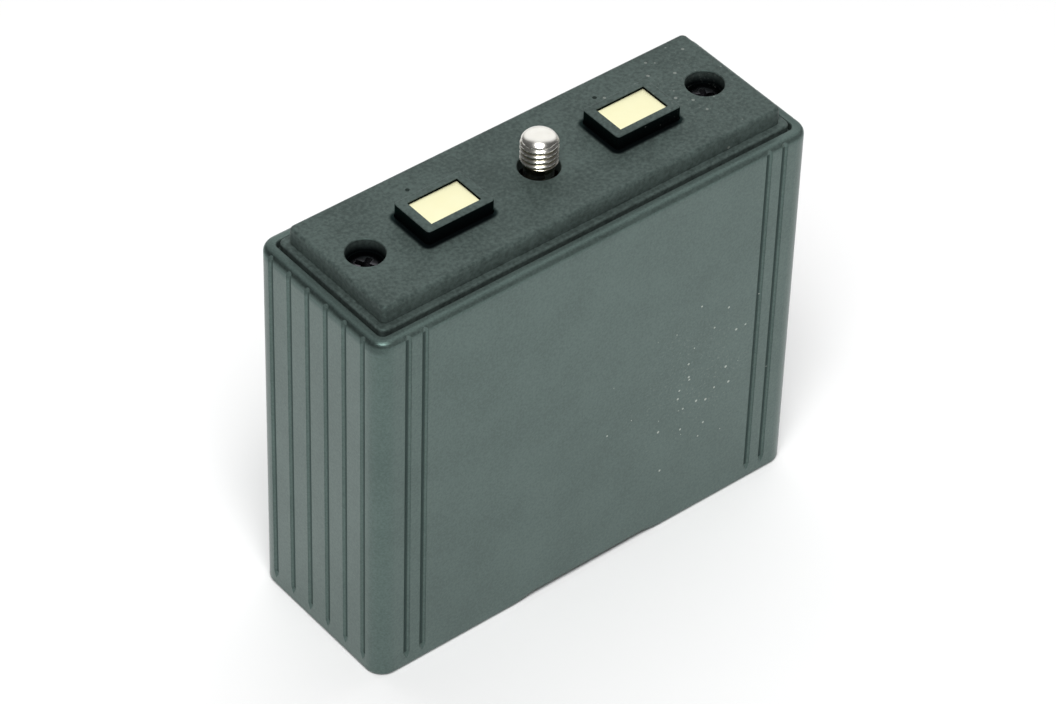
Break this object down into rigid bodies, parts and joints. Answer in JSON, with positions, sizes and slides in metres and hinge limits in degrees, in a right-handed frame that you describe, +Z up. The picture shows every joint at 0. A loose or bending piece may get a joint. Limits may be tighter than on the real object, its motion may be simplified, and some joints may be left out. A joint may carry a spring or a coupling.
{
  "type": "battery pack",
  "caption": "Black moulded screw-on battery pack with grooved ends, a stepped lid, gold contact plates, locating holes and a captive fixing screw.",
  "frame": {"origin": "centre of the base, on the surface that the pack stands on", "axes": "+X along the width towards the right-hand contact, +Y along the depth towards the back, +Z up along the fixing screw"},
  "size_m": [0.07, 0.0254, 0.0664],
  "materials": {
    "case_plastic": "finely textured semi-gloss black moulding",
    "lid_plastic": "finely textured semi-gloss black moulding",
    "carrier_plastic": "smooth black moulding",
    "contact_gold": "gold-plated brass",
    "screw_nickel": "bright nickel plate",
    "washer_steel": "zinc plate",
    "clip_steel": "blackened spring steel",
    "tube_plastic": "natural nylon",
    "lid_screw_steel": "black-oxide steel",
    "cell_sleeve": "plastic-sleeved steel can",
    "link_nickel": "nickel strip",
    "fuse_metal": "lacquered can",
    "lead_insulation": "soft insulation",
    "card_fibre": "pressed fibre card",
    "pad_foam": "closed-cell foam"
  },
  "bodies": {
    "pack": {"case": "case_plastic", "lid": "lid_plastic", "contact_carrier_left": "carrier_plastic", "contact_carrier_right": "carrier_plastic", "contact_left": "contact_gold", "contact_right": "contact_gold", "head_washer": "washer_steel", "clip_washer": "washer_steel", "guide_tube": "tube_plastic", "lid_screws": "lid_screw_steel", "cell_1": "cell_sleeve", "cell_2": "cell_sleeve", "cell_3": "cell_sleeve", "cell_4": "cell_sleeve", "cell_5": "cell_sleeve", "cell_6": "cell_sleeve", "cell_7": "cell_sleeve", "cell_8": "cell_sleeve", "top_links": "link_nickel", "bottom_links": "link_nickel", "thermal_fuse": "fuse_metal", "lead_left": "lead_insulation", "lead_fuse": "lead_insulation", "lead_right": "lead_insulation", "top_insulator": "card_fibre", "bottom_pad": "pad_foam"},
    "screw": {"fixing_screw": "screw_nickel", "retaining_clip": "clip_steel"}
  },
  "joints": [
    {"name": "screw_turn", "type": "hinge", "parent": "pack", "child": "screw", "pos_m": [0, 0, 0.03], "axis": [0, 0, 1], "continuous": true}
  ]
}
